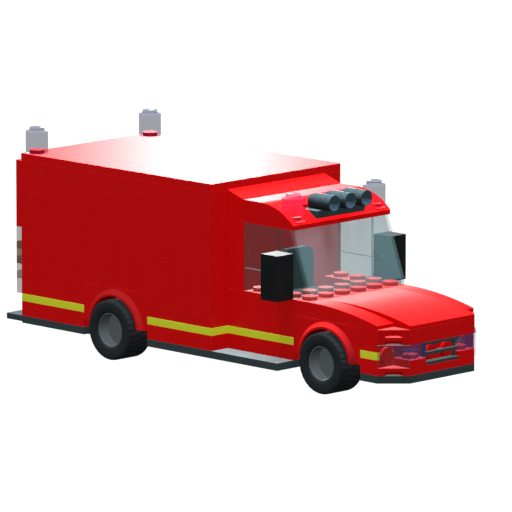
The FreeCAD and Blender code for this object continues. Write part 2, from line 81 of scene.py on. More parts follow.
# Edges of a piece built here stay sharp where they turn more than this.
SHARP_DEGREES = 38.0

# What comes off every face of a see-through piece.
PANE_PLAY = 0.012 * MM

# A corner's curve takes at most one part in this many of the shorter line beside it.
CURVE_PARTS = 2.2

# A turned form closes to a tip where its radius is below this.
TIP_RADIUS = 1e-7

BONNET_NODES = ("bonnet", "wing_right", "wing_left")
WHEEL_PLACES = ("rear_right", "rear_left", "front_right", "front_left")

Place = tuple[float, float]
Row = list[bmesh.types.BMVert]
Colour = tuple[float, float, float]
Direction = tuple[float, float, float]


@dataclass(frozen=True)
class Plastic:
    """A moulded finish, shown by a Principled shader with procedural detail.

    Attributes:
        label: The material's name.
        colour: The plastic's own colour, in linear values.
        roughness: The middle of its roughness.
        cloud: How far the roughness wanders.
        tone: How far the colour wanders, as a share of it.
        tone_scale: Waves of that wandering per metre.
        ripple: Height of the moulded surface's unevenness in millimetres.
        ripple_scale: Waves of that unevenness per metre.
        cover: 1 where nothing shows through.
        shine: The shader's specular level.
        shade: How much painted shade darkens the colour on faces that look in the shaded
        direction; below nought it is painted light that makes them paler.
        shaded: That direction.
    """

    label: str
    colour: Colour
    roughness: float = 0.265
    cloud: float = 0.02
    tone: float = 0.02
    tone_scale: float = 70.0
    ripple: float = 0.0004
    ripple_scale: float = 900.0
    cover: float = 1.0
    shine: float = 0.5
    shade: float = 0.0
    shaded: Direction = (0.0, 0.0, 1.0)

    def material(self) -> bpy.types.Material:
        """Makes the finish's material on first use.

        Returns:
            The material, the same one for every piece.
        """
        found = bpy.data.materials.get(self.label)
        if found is not None:
            return found
        material = bpy.data.materials.new(self.label)
        material.use_nodes = True
        tree = material.node_tree
        tree.nodes.clear()
        out = tree.nodes.new("ShaderNodeOutputMaterial")
        shader = tree.nodes.new("ShaderNodeBsdfPrincipled")
        tree.links.new(shader.outputs["BSDF"], out.inputs["Surface"])
        shader.inputs["Specular IOR Level"].default_value = self.shine
        shader.inputs["Alpha"].default_value = self.cover
        place = tree.nodes.new("ShaderNodeTexCoord")
        self._wander_roughness(tree, shader, place)
        self._wander_colour(tree, shader, place)
        self._add_ripple(tree, shader, place)
        return material

    def _noise(self, tree: bpy.types.NodeTree, place: bpy.types.Node, scale: float) -> bpy.types.Node:
        """Adds a noise texture that is fixed to the piece.

        Args:
            tree: The material's nodes.
            place: The node that gives places on the piece.
            scale: Waves per metre.

        Returns:
            The texture's node.
        """
        noise = tree.nodes.new("ShaderNodeTexNoise")
        noise.inputs["Scale"].default_value = scale
        noise.inputs["Detail"].default_value = NOISE_DETAIL
        tree.links.new(place.outputs["Object"], noise.inputs["Vector"])
        return noise

    def _wander_roughness(
        self, tree: bpy.types.NodeTree, shader: bpy.types.Node, place: bpy.types.Node
    ) -> None:
        """Lets the roughness drift, as polish and handling leave it.

        Args:
            tree: The material's nodes.
            shader: The plastic's shader.
            place: The node that gives places on the piece.
        """
        noise = self._noise(tree, place, POLISH_SCALE)
        spread = tree.nodes.new("ShaderNodeMapRange")
        spread.inputs["To Min"].default_value = max(self.roughness - self.cloud, LEAST_ROUGHNESS)
        spread.inputs["To Max"].default_value = self.roughness + self.cloud
        tree.links.new(noise.outputs["Fac"], spread.inputs["Value"])
        tree.links.new(spread.outputs["Result"], shader.inputs["Roughness"])

    def _wander_colour(
        self, tree: bpy.types.NodeTree, shader: bpy.types.Node, place: bpy.types.Node
    ) -> None:
        """Lets the colour drift a little, as pigment flows in the mould.

        Args:
            tree: The material's nodes.
            shader: The plastic's shader.
            place: The node that gives places on the piece.
        """
        noise = self._noise(tree, place, self.tone_scale)
        blend = tree.nodes.new("ShaderNodeMix")
        blend.data_type = "RGBA"
        blend.inputs["A"].default_value = (*[part * (1 - self.tone) for part in self.colour], 1)
        blend.inputs["B"].default_value = (*[part * (1 + self.tone) for part in self.colour], 1)
        tree.links.new(noise.outputs["Fac"], blend.inputs["Factor"])
        colour = blend.outputs["Result"]
        if self.shade:
            colour = self._shade_one_side(tree, colour)
        tree.links.new(colour, shader.inputs["Base Color"])

    def _shade_one_side(
        self, tree: bpy.types.NodeTree, colour: bpy.types.NodeSocket
    ) -> bpy.types.NodeSocket:
        """Changes a colour the more, the more a face looks in the shaded direction.

        The colour is divided by 1 plus the shade times the facing, which is 1 for a face
        that looks straight that way and nought for one that looks across or away. This
        paints shade into the colour, or light where the shade is below nought.

        Args:
            tree: The material's nodes.
            colour: The colour to change.

        Returns:
            The changed colour.
        """
        normal = tree.nodes.new("ShaderNodeNewGeometry")
        along = tree.nodes.new("ShaderNodeVectorMath")
        along.operation = "DOT_PRODUCT"
        along.inputs[1].default_value = self.shaded
        facing = tree.nodes.new("ShaderNodeMath")
        facing.operation = "MAXIMUM"
        facing.inputs[1].default_value = 0.0
        weight = tree.nodes.new("ShaderNodeMath")
        weight.operation = "MULTIPLY_ADD"
        weight.inputs[1].default_value = self.shade
        weight.inputs[2].default_value = 1.0
        share = tree.nodes.new("ShaderNodeMath")
        share.operation = "DIVIDE"
        share.inputs[0].default_value = 1.0
        scaled = tree.nodes.new("ShaderNodeVectorMath")
        scaled.operation = "SCALE"
        tree.links.new(normal.outputs["Normal"], along.inputs[0])
        tree.links.new(along.outputs["Value"], facing.inputs[0])
        tree.links.new(facing.outputs["Value"], weight.inputs[0])
        tree.links.new(weight.outputs["Value"], share.inputs[1])
        tree.links.new(colour, scaled.inputs["Vector"])
        tree.links.new(share.outputs["Value"], scaled.inputs["Scale"])
        return scaled.outputs["Vector"]

    def _add_ripple(
        self, tree: bpy.types.NodeTree, shader: bpy.types.Node, place: bpy.types.Node
    ) -> None:
        """Adds the fine unevenness of a moulded skin.

        Args:
            tree: The material's nodes.
            shader: The plastic's shader.
            place: The node that gives places on the piece.
        """
        noise = self._noise(tree, place, self.ripple_scale)
        bump = tree.nodes.new("ShaderNodeBump")
        bump.inputs["Strength"].default_value = 1.0
        bump.inputs["Distance"].default_value = self.ripple * MM
        tree.links.new(noise.outputs["Fac"], bump.inputs["Height"])
        tree.links.new(bump.outputs["Normal"], shader.inputs["Normal"])


class Finish(Enum):
    """The finishes of the toy's pieces."""

    RED = Plastic("red brick plastic", (0.575, 0.0030, 0.0034), roughness=0.272, cloud=0.008, shine=0.3)
    # The visor's red has painted light: it grows paler the more a face looks up. It also has a little less
    # green and blue than the plain red.
    VISOR = Plastic("red brick plastic, painted paler on top", (0.575, 0.0020, 0.0028), shine=0.3, shade=-0.4)
    # The bonnet's red is the plain red made rougher for its own glare light, with less green and blue:
    # painted shade that keeps its lit faces a deeper red.
    BONNET = Plastic("red brick plastic, rougher and painted deeper", (0.575, 0.0020, 0.0024), roughness=0.41, shine=0.25)
    # The rear mudguard lip's red is the plain red recoloured: pinker, a painted sheen, and darker the more a
    # face looks up, painted shade.
    LIP = Plastic("red mudguard lip, painted sheen and shade", (0.62, 0.016, 0.018), shine=0.1, shade=4.6)
    # The front mudguard lip's red is the plain red recoloured: deeper and pinker, a painted sheen, and darker
    # the more a face looks ahead. That painted shade leaves faces looking up or back unshaded.
    FRONT_LIP = Plastic(
        "red front mudguard lip, painted sheen and shade", (0.365, 0.0095, 0.011), shine=0.1, shade=0.75, shaded=(1.0, 0.0, 0.0)
    )
    DARK = Plastic("dark grey brick plastic", (0.036, 0.050, 0.051), shine=0.007)
    # The lamp base and lids take the dark grey with less red, painted to offset the red light thrown on them
    # from the visor.
    BASE = Plastic("dark grey brick plastic, painted less red", (0.027, 0.051, 0.053), shine=0.007)
    # The lamps' round sides take a darker, less red grey with painted light: paler the more a face looks up.
    # Their colour also wanders at random.
    LAMP = Plastic(
        "dark grey lamp plastic, painted paler on top", (0.024, 0.036, 0.040), roughness=0.2, tone=0.6, tone_scale=800.0,
        ripple=0.06, ripple_scale=700.0, shine=0.05, shade=-0.35,
    )
    YELLOW = Plastic("lime yellow brick plastic", (0.58, 0.635, 0.028), shine=0.3)
    BLACK = Plastic("black brick plastic", (0.0095, 0.012, 0.012), shine=0.24)
    # The rim's grey has painted shade: darker the more a face looks up.
    RIM = Plastic("grey wheel plastic", (0.112, 0.127, 0.134), roughness=0.17, shade=1.6)
    # The tyre's black has painted shade: darker the more a face looks up. Its tone and roughness also wander
    # at random.
    RUBBER = Plastic(
        "black tyre rubber", (0.018, 0.022, 0.024), roughness=0.48, cloud=0.08, tone=0.1,
        ripple=0.012, ripple_scale=2600.0, shine=0.3, shade=1.8,
    )
    SMOKE = Plastic(
        "smoke grey clear plastic", (0.03, 0.07, 0.072), roughness=0.08, cloud=0.01, cover=0.31
    )
    PANE_EDGE = Plastic(
        "dull edge of a pane", (0.022, 0.026, 0.027), roughness=0.3, shine=0.02, cover=0.6
    )
    # The windscreen's leaning faces take the smoke grey made paler and clearer: a painted sheen in place of
    # the light they reflect.
    SCREEN = Plastic(
        "smoke grey plastic, paler as a painted sheen", (0.108, 0.182, 0.187), roughness=0.08, cloud=0.01, cover=0.25
    )
    BEACON = Plastic(
        "pale violet clear plastic", (0.01, 0.025, 0.09), roughness=0.12, cloud=0.01, cover=0.46
    )
    CLEAR = Plastic("clear lamp plastic", (0.05, 0.055, 0.06), roughness=0.08, cloud=0.01, cover=0.18)
    # The corner lamps' top faces are pale and nearly solid: a painted sheen where light falls on them.
    LAMP_TOP_SHEEN = Plastic(
        "clear lamp plastic, painted pale on top", (0.075, 0.045, 0.046), roughness=0.2, shine=0.05, cover=0.9
    )
    TAIL = Plastic(
        "pale clear tail lamp plastic", (0.10, 0.055, 0.055), roughness=0.08, cloud=0.01, cover=0.44
    )
    AMBER = Plastic(
        "brown amber clear plastic", (0.095, 0.032, 0.008), roughness=0.1, cloud=0.01, cover=0.8
    )
    OLIVE = Plastic(
        "olive smoke clear plastic", (0.123, 0.080, 0.045), roughness=0.1, cloud=0.01, cover=0.68
    )
    BLUE = Plastic("blue clear plastic", (0.05, 0.045, 0.14), roughness=0.1, cloud=0.01, cover=0.42)
    MIRROR = Plastic(
        "bright lamp lining", (0.034, 0.054, 0.080), roughness=0.2, tone=0.95, tone_scale=1500.0,
        ripple=0.06, ripple_scale=900.0, shine=0.7,
    )


class Faces(Enum):
    """The faces of a piece that its second finish is for."""

    NONE = "none"
    LEANING = "neither level nor upright"
    LEVEL = "looking straight up"
    FLAT = "looking straight up or down"

    def hold(self, normal: Vector) -> bool:
        """Tells whether a face is one of them.

        Args:
            normal: The way the face looks.

        Returns:
            True where the face gets the second finish.
        """
        if self is Faces.LEANING:
            return ACROSS_SHARE < abs(normal.z) < ALONG_SHARE
        if self is Faces.LEVEL:
            return normal.z > ALONG_SHARE
        return self is Faces.FLAT and abs(normal.z) > ALONG_SHARE


class Axis(Enum):
    """A line about which a piece is turned, with the two directions across it."""

    FORWARD = (Vector((1, 0, 0)), Vector((0, 1, 0)), Vector((0, 0, 1)))
    LEFT = (Vector((0, 1, 0)), Vector((0, 0, 1)), Vector((1, 0, 0)))
    UP = (Vector((0, 0, 1)), Vector((1, 0, 0)), Vector((0, 1, 0)))


def middle(node: str) -> Vector:
    """Returns the middle of a node's box."""
    low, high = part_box(node)
    return (low + high) / 2


def grey(level: float) -> tuple[float, float, float, float]:
    """Returns a solid grey of the given linear level."""
    return (level, level, level, 1.0)


def heading_vector(heading_degrees: float, height_degrees: float) -> Vector:
    """Turns a heading and a height into a direction.

    Args:
        heading_degrees: The heading, from ahead towards the left.
        height_degrees: The height over the horizon.

    Returns:
        The direction, as a vector of length one.
    """
    heading, height = math.radians(heading_degrees), math.radians(height_degrees)
    level = math.cos(height)
    return Vector((math.cos(heading) * level, math.sin(heading) * level, math.sin(height)))


def eased(places: list[Place], reach: float, steps: int = 3) -> list[Place]:
    """Replaces a line's corners by short curves.

    Args:
        places: The line's corners.
        reach: How far from a corner its curve starts, at most.
        steps: Pieces in each curve.

    Returns:
        The line's places with the first and last kept.
    """
    line = [Vector(place) for place in places]
    result = [line[0]]
    for before, corner, after in zip(line, line[1:], line[2:]):
        room = min((before - corner).length, (after - corner).length) / CURVE_PARTS
        cut = min(reach, room)
        start = corner + (before - corner).normalized() * cut
        end = corner + (after - corner).normalized() * cut
        for step in range(steps + 1):
            share = step / steps
            result.append(start * (1 - share) ** 2 + corner * 2 * share * (1 - share) + end * share ** 2)
    return [tuple(place) for place in result + [line[-1]]]


def as_piece(name: str, shape: bmesh.types.BMesh) -> bpy.types.Object:
    """Turns a bmesh into a smooth shaded object.

    Args:
        name: The piece's name.
        shape: The bmesh, which is freed.

    Returns:
        The new object.
    """
    bmesh.ops.recalc_face_normals(shape, faces=shape.faces)
    mesh = bpy.data.meshes.new(name)
    shape.to_mesh(mesh)
    shape.free()
    mesh.shade_smooth()
    mesh.set_sharp_from_angle(angle=math.radians(SHARP_DEGREES))
    piece = bpy.data.objects.new(name, mesh)
    bpy.context.scene.collection.objects.link(piece)
    return piece


def join_rows(shape: bmesh.types.BMesh, rows: list[Row], steps: int) -> None:
    """Spans the skin between each row of corners and the next.

    Args:
        shape: The bmesh that holds the corners.
        rows: The rows in order. A row of one corner is a tip.
        steps: Faces between two rows.
    """
    for first, second in zip(rows, rows[1:]):
        for k in range(steps):
            corners = [first[k % len(first)], first[(k + 1) % len(first)]]
            corners += [second[(k + 1) % len(second)], second[k % len(second)]]
            loop = list(dict.fromkeys(corners))
            if len(loop) > 2:
                shape.faces.new(loop)


def turn(
    shape: bmesh.types.BMesh, profile: list[Place], centre: Vector, axis: Axis, steps: int = 72,
    ring: bool = False, span: Place = (0.0, math.tau),
) -> None:
    """Adds a turned form to a bmesh.

    Args:
        shape: The bmesh that takes the form.
        profile: Places as (distance along the axis, radius).
        centre: Where the axis distance is nought.
        axis: The line to turn about.
        steps: Faces round the form.
        ring: Whether the profile closes on itself.
        span: First and last angle, from the axis's first cross direction.
    """
    along, side, up = axis.value
    start, reach = span[0], span[1] - span[0]
    is_part = reach < math.tau
    turns = [start + reach * k / steps for k in range(steps + is_part)]
    rows = []
    for distance, radius in profile:
        base = centre + along * distance
        if radius < TIP_RADIUS:
            rows.append([shape.verts.new(base)])
            continue
        rows.append([shape.verts.new(base + (side * math.cos(t) + up * math.sin(t)) * radius) for t in turns])
    if ring:
        rows.append(rows[0])
    join_rows(shape, rows, steps)


def slab(name: str, low: Vector, high: Vector) -> bpy.types.Object:
    """Makes a plain box.

    Args:
        name: The piece's name.
        low: Its lowest corner.
        high: The corner across from that.

    Returns:
        The new object.
    """
    shape = bmesh.new()
    bmesh.ops.create_cube(shape, size=1.0)
    for vertex in shape.verts:
        share = vertex.co + Vector((0.5, 0.5, 0.5))
        vertex.co = Vector([a + (b - a) * part for a, b, part in zip(low, high, share)])
    return as_piece(name, shape)


def set_in(piece: bpy.types.Object) -> None:
    """Takes a hair off every face, so that a see-through piece shares no face with its neighbours.

    Args:
        piece: The object.
    """
    shrink = piece.modifiers.new("play", "DISPLACE")
    shrink.mid_level = 0.0
    shrink.strength = -PANE_PLAY


def soften(piece: bpy.types.Object, edge: float) -> None:
    """Rounds a hard piece's edges by modifiers, without touching its mesh.

    Args:
        piece: The object.
        edge: Width of the rounding.
    """
    weld = piece.modifiers.new("join corners", "WELD")
    weld.merge_threshold = WELD_GAP
    flat = piece.modifiers.new("clean flats", "DECIMATE")
    flat.decimate_type = "DISSOLVE"
    flat.angle_limit = math.radians(EVEN_DEGREES)
    bevel = piece.modifiers.new("round edges", "BEVEL")
    bevel.width = edge
    bevel.segments = EDGE_FACES
    bevel.limit_method = "ANGLE"
    bevel.angle_limit = math.radians(HARD_EDGE_DEGREES)
    bevel.use_clamp_overlap = True
    bevel.harden_normals = False
    bevel.miter_outer = "MITER_ARC"
    shading = piece.modifiers.new("even shading", "WEIGHTED_NORMAL")
    shading.keep_sharp = False
    shading.weight = BIG_FACE_WEIGHT


def paint(piece: bpy.types.Object, finish: Finish) -> None:
    """Gives a piece one finish all over. See-through pieces throw no shadow.

    Args:
        piece: The object.
        finish: Its finish.
    """
    piece.data.materials.clear()
    piece.data.materials.append(finish.value.material())
    piece.visible_shadow = finish.value.cover == 1.0


def add(piece: bpy.types.Object, finish: Finish, body: str, slot: str, *nodes: str) -> bpy.types.Object:
    """Paints a new piece and ties it to the frame.

    Args:
        piece: The new object, in place.
        finish: Its finish.
        body: The body that it rides on.
        slot: The record's material slot; not used.
        nodes: The nodes that it stands for.

    Returns:
        The same object.
    """
    paint(piece, finish)
    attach(piece, body)
    if nodes:
        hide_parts(*nodes)
    return piece


def dress(
    node: str, finish: Finish, edge: float = FINE_EDGE, second: Finish | None = None,
    faces: Faces = Faces.NONE,
) -> bpy.types.Object:
    """Gives a kept node its finish and rounded edges.

    Args:
        node: The node's name.
        finish: Its finish.
        edge: Width of the rounding.
        second: Another finish for some of the faces.
        faces: Which faces those are.

    Returns:
        The node's object.
    """
    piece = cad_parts[node]
    paint(piece, finish)
    if second is not None:
        piece.data.materials.append(second.value.material())
    for polygon in piece.data.polygons:
        polygon.material_index = int(faces.hold(polygon.normal))
    soften(piece, edge)
    if finish.value.cover < 1.0:
        set_in(piece)
    return piece


class SubAssembly:
    """A group of pieces that are built and dressed together."""

    def build(self) -> Iterator[bpy.types.Object]:
        """Yields each piece as it is made."""
        raise NotImplementedError


@dataclass
class Bricks(SubAssembly):
    """Bricks and plates whose moulded form is already in the frame."""

    finish: Finish
    nodes: tuple[str, ...]
    second: Finish | None = None
    faces: Faces = Faces.NONE

    def build(self) -> Iterator[bpy.types.Object]:
        """Yields each kept node with its finish."""
        for node in self.nodes:
            yield dress(node, self.finish, second=self.second, faces=self.faces)


@dataclass
class Wheel(SubAssembly):
    """A tyre with an offset tread on a dished rim.

    The lugs' section is given as (share of half a lug's width, drop below its crown), and
    their bend over the shoulder as angles from the axle's line.
    """

    place: str
    tyre_radius: float = 10.6667 * MM
    half_width: float = 5.5 * MM
    bead: float = 0.4 * MM
    bead_bulge: float = 0.12 * MM
    shoulder: float = 0.9 * MM
    shoulder_steps: int = 8
    tread_depth: float = 0.16 * MM
    tyre_steps: int = 120
    lugs: int = 30
    lug_share: float = 0.84
    lug_start: float = 0.3 * MM
    lug_bend_degrees: tuple[float, ...] = (72.0, 54.0, 38.0, 24.0)
    lug_section: tuple[Place, ...] = (
        (-1.0, 0.5 * MM), (-1.0, 0.05 * MM), (-0.9, 0.0), (0.0, 0.0), (0.9, 0.0), (1.0, 0.05 * MM),
        (1.0, 0.5 * MM),
    )
    row_shift: float = 0.25
    rim_radius: float = 6.1 * MM
    rim_lip: float = 0.4 * MM
    rim_ease: float = 0.28 * MM
    rim_steps: int = 96
    dish_depth: float = 4.5 * MM
    dish_thickness: float = 1.2 * MM
    hub_radius: float = 3.6 * MM
    bore_radius: float = 2.45 * MM

    @property
    def outer_sign(self) -> int:
        """Which way the wheel's outer face looks: -1 for right, 1 for left."""
        return -1 if self.place.endswith("right") else 1

    @property
    def tread_half(self) -> float:
        """Half the width of the tread's flat part."""
        return self.half_width - self.shoulder

    @property
    def shoulder_foot(self) -> float:
        """The radius where the shoulders start."""
        return self.tyre_radius - self.shoulder

    def build(self) -> Iterator[bpy.types.Object]:
        """Builds the wheel on its own body.

        Yields:
            The tyre and the rim.
        """
        body = "wheel_" + self.place
        tyre = "tyre_" + self.place
        rim = "rim_" + self.place
        yield add(self.tyre(tyre), Finish.RUBBER, body, "tyre_rubber", tyre)
        yield add(self.rim(rim), Finish.RIM, body, "rim_plastic", rim)

    def tyre(self, node: str) -> bpy.types.Object:
        """Builds the tyre, a turned carcass with two offset rows of lugs.

        Args:
            node: The plain tyre that it stands for.

        Returns:
            The tyre.
        """
        centre = middle(node)
        shape = bmesh.new()
        turn(shape, self.carcass(), centre, Axis.LEFT, self.tyre_steps, ring=True)
        for side in (-1, 1):
            for lug in range(self.lugs):
                phase = (lug + side * self.row_shift) / self.lugs
                self.lug(shape, centre, side, math.tau * phase)
        return as_piece("tyre_%s_moulded" % self.place, shape)

    def carcass(self) -> list[Place]:
        """Draws the tyre's section without its lugs.

        Returns:
            A closed profile.
        """
        side = [
            (self.half_width - self.bead, self.rim_radius),
            (self.half_width - self.bead_bulge, self.rim_radius + self.bead),
            (self.half_width, self.rim_radius + 2 * self.bead),
            (self.half_width, self.shoulder_foot),
        ]
        for step in range(1, self.shoulder_steps + 1):
            t = math.radians(90.0 * step / self.shoulder_steps)
            radius = self.shoulder_foot + (self.shoulder - self.tread_depth) * math.sin(t)
            side.append((self.tread_half + self.shoulder * math.cos(t), radius))
        return [(-y, radius) for y, radius in side] + side[::-1]

    def lug(self, shape: bmesh.types.BMesh, centre: Vector, side: int, turned: float) -> None:
        """Adds one tread lug.

        Args:
            shape: The bmesh that takes it.
            centre: The wheel's middle.
            side: -1 or 1, the row that it belongs to.
            turned: Its angle about the axle.
        """
        along, first, second = Axis.LEFT.value
        crown = [(self.lug_start, self.tyre_radius), (self.tread_half, self.tyre_radius)]
        for degrees in self.lug_bend_degrees:
            t = math.radians(degrees)
            y = self.tread_half + self.shoulder * math.cos(t)
            crown.append((y, self.shoulder_foot + self.shoulder * math.sin(t)))
        half_turn = math.pi / self.lugs * self.lug_share
        rows = []
        for y, radius in crown:
            row = []
            for turn_by, drop in self.lug_section:
                t = turned + turn_by * half_turn
                out = first * math.cos(t) + second * math.sin(t)
                row.append(shape.verts.new(centre + along * (side * y) + out * (radius - drop)))
            rows.append(row)
        join_rows(shape, rows, len(self.lug_section) - 1)
        shape.faces.new(rows[0])
        shape.faces.new(rows[-1][::-1])

    def rim(self, node: str) -> bpy.types.Object:
        """Builds the rim, with a dish outside and a bored hub inside.

        Args:
            node: The plain rim that it stands for.

        Returns:
            The rim.
        """
        low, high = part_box(node)
        half = (high.y - low.y) / 2
        floor = half - self.dish_depth
        back = floor - self.dish_thickness
        dish = self.rim_radius - self.rim_lip
        outside = [
            (floor, 0.0), (floor, dish), (half, dish), (half, self.rim_radius),
            (-half, self.rim_radius), (-half, dish), (back, dish), (back, self.hub_radius),
            (-half, self.hub_radius), (-half, self.bore_radius), (back, self.bore_radius), (back, 0.0),
        ]
        profile = [(self.outer_sign * y, radius) for y, radius in eased(outside, self.rim_ease, steps=4)]
        shape = bmesh.new()
        turn(shape, profile, middle(node), Axis.LEFT, self.rim_steps)
        return as_piece("rim_%s_moulded" % self.place, shape)


@dataclass
class Beacons(SubAssembly):
    """A pair of round see-through beacons with a stud on top, each standing over a stud."""

    node: str
    radius: float = 4.0 * MM
    height: float = 3 * PLATE
    stud_radius: float = 2.6667 * MM
    stud_height: float = PLATE / 2
    ease: float = 0.18 * MM
    play: float = 0.02 * MM

    def build(self) -> Iterator[bpy.types.Object]:
        """Builds both beacons.

        Yields:
            The pair as one piece.
        """
        low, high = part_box(self.node)
        x = (low.x + high.x) / 2
        top = self.height + self.stud_height
        outside = [
            (self.play, 0.0), (self.play, self.radius), (self.height, self.radius),
            (self.height, self.stud_radius), (top, self.stud_radius), (top, 0.0),
        ]
        profile = eased(outside, self.ease)
        shape = bmesh.new()
        for y in (low.y + self.radius, high.y - self.radius):
            turn(shape, profile, Vector((x, y, low.z)), Axis.UP)
        piece = as_piece(self.node + "_turned", shape)
        yield add(piece, Finish.BEACON, "body", "beacon_plastic", self.node)


@dataclass
class RoofLamps(SubAssembly):
    """Three work lamps in a row over the windscreen, on one base.

    A face of the base belongs to a lamp's round side between two shares of its radius.
    """

    places: tuple[float, ...] = (-STUD_PITCH, 0.0, STUD_PITCH)
    radius: float = 2.85 * MM
    side_from: float = 0.72
    side_to: float = 1.05
    bowl_radius: float = 2.46 * MM
    bowl_depth: float = 2.6 * MM
    bowl_power: float = 1.7
    bowl_steps: int = 8
    proud: float = 0.04 * MM
    steps: int = 40

    def build(self) -> Iterator[bpy.types.Object]:
        """Builds the lamps.

        Yields:
            The kept base, the bright linings, which fill only the bowls' lower halves where
            light falls, and the dark lids over the upper halves, which stand in for the shade there.
        """
        yield self.base()
        yield add(self.linings(), Finish.MIRROR, "body", "lamp_metal", "lamp_reflectors")
        yield add(self.lids(), Finish.BASE, "body", "dark_plastic")

    def centres(self) -> list[Vector]:
        """Finds the middle of each lamp's face.

        Returns:
            The middles, from right to left.
        """
        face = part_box("lamp_bar")[1].x
        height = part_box("lamp_reflectors")[1].z
        return [Vector((face, y, height)) for y in self.places]

    def base(self) -> bpy.types.Object:
        """Dresses the kept base, with the lamps' round sides in their own finish.

        Returns:
            The base.
        """
        piece = dress("lamp_bar", Finish.BASE)
        piece.data.materials.append(Finish.LAMP.value.material())
        centres = self.centres()
        plate_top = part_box("lamp_bar")[0].z + PLATE
        for polygon in piece.data.polygons:
            away = min(math.hypot(polygon.center.y - c.y, polygon.center.z - c.z) for c in centres)
            is_round = self.side_from * self.radius < away < self.side_to * self.radius
            is_side = is_round and abs(polygon.normal.x) < ALONG_SHARE
            if is_side and polygon.center.z > plate_top + self.proud:
                polygon.material_index = 1
        return piece

    def linings(self) -> bpy.types.Object:
        """Builds the linings: thin shells in the bowls' lower halves, with a rim in front.

        Returns:
            All three as one piece.
        """
        # The linings fill only the bowls' lower halves, where light falls; the upper halves are left to the
        # dark lids.
        front = [(self.proud, self.radius - self.proud), (self.proud, self.bowl_radius)]
        for step in range(1, self.bowl_steps + 1):
            share = step / self.bowl_steps
            radius = (self.bowl_radius - self.proud) * (1 - share ** self.bowl_power)
            front.append((-self.bowl_depth * share, radius))
        back = [(x - self.proud / 2, radius) for x, radius in front]
        return self.half_turned("lamp_linings", front + back[::-1], (math.pi, math.tau))

    def lids(self) -> bpy.types.Object:
        """Builds the flat lids over the upper halves of the bowls.

        Returns:
            All three as one piece.
        """
        # The lids are flat dark sheets that stand in for the shade in the bowls' upper halves.
        radius = self.radius - self.proud
        section = [(0.0, 0.0), (0.0, radius), (self.proud, radius), (self.proud, 0.0)]
        return self.half_turned("lamp_shade_lids", section, (0.0, math.pi))

    def half_turned(self, name: str, section: list[Place], span: Place) -> bpy.types.Object:
        """Turns a closed section by half a turn in each lamp.

        Args:
            name: The piece's name.
            section: Places as (distance ahead of the lamp's face, radius).
            span: First and last angle, from the left towards the top.

        Returns:
            All three as one piece.
        """
        shape = bmesh.new()
        for centre in self.centres():
            turn(shape, section, centre, Axis.FORWARD, self.steps, ring=True, span=span)
        return as_piece(name, shape)


@dataclass
class SeatFills(SubAssembly):
    """The visor's curve carried on inside the feet of the front beacons, seen through them."""

    radius: float = 4.14 * MM
    curve_radius: float = 23.3 * MM
    sink: float = 0.02 * MM
    rings: int = 14
    steps: int = 64

    def build(self) -> Iterator[bpy.types.Object]:
        """Builds both fills.

        Yields:
            The pair as one piece.
        """
        low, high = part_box("beacons_front")
        visor_low, visor_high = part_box("visor")
        x = (low.x + high.x) / 2
        crest = Vector((visor_low.x + STUD_PITCH, 0.0, visor_high.z - self.curve_radius))
        shape = bmesh.new()
        for y in (low.y + STUD_PITCH / 2, high.y - STUD_PITCH / 2):
            self.fill(shape, Vector((x, y, low.z - self.sink)), crest)
        # The fills take the visor's finish, with its painted light on top.
        yield add(as_piece("beacon_seat_fills", shape), Finish.VISOR, "body", "red_plastic")

    def fill(self, shape: bmesh.types.BMesh, foot: Vector, crest: Vector) -> None:
        """Adds one fill.

        Args:
            shape: The bmesh that takes it.
            foot: The middle of its flat underside.
            crest: The middle of the visor's curve.
        """
        rows = [[shape.verts.new(foot)]]
        for ring in range(self.rings, -1, -1):
            reach = self.radius * ring / self.rings
            row = []
            for step in range(self.steps if ring else 1):
                t = math.tau * step / self.steps
                x = foot.x + reach * math.cos(t)
                rise = crest.z + math.sqrt(self.curve_radius ** 2 - (x - crest.x) ** 2) - foot.z
                row.append((x, foot.y + reach * math.sin(t), foot.z + max(rise, 0.0)))
            if ring == self.rings:
                rows.append([shape.verts.new((x, y, foot.z - self.sink)) for x, y, _ in row])
            rows.append([shape.verts.new(place) for place in row])
        join_rows(shape, rows, self.steps)


@dataclass
class LampBacks(SubAssembly):
    """Red plates behind the blue lamps, seen through them."""

    thickness: float = 1.0 * MM
    play: float = 0.02 * MM

    def build(self) -> Iterator[bpy.types.Object]:
        """Builds the plates.

        Yields:
            One plate behind each lamp.
        """
        low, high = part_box("blue_lamps")
        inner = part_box("grille")[1].y
        for name, near, far in (("right", low.y, -inner), ("left", inner, high.y)):
            start = Vector((low.x - self.thickness, near, low.z))
            end = Vector((low.x - self.play, far, high.z))
            yield add(slab("lamp_back_" + name, start, end), Finish.RED, "body", "red_plastic")


@dataclass
class Seat(SubAssembly):
    """The driver's bucket seat."""

    edge: float = 0.25 * MM

    def build(self) -> Iterator[bpy.types.Object]:
        """Yields the seat and its base."""
        yield dress("seat", Finish.DARK, self.edge)
        yield dress("seat_base", Finish.RED)


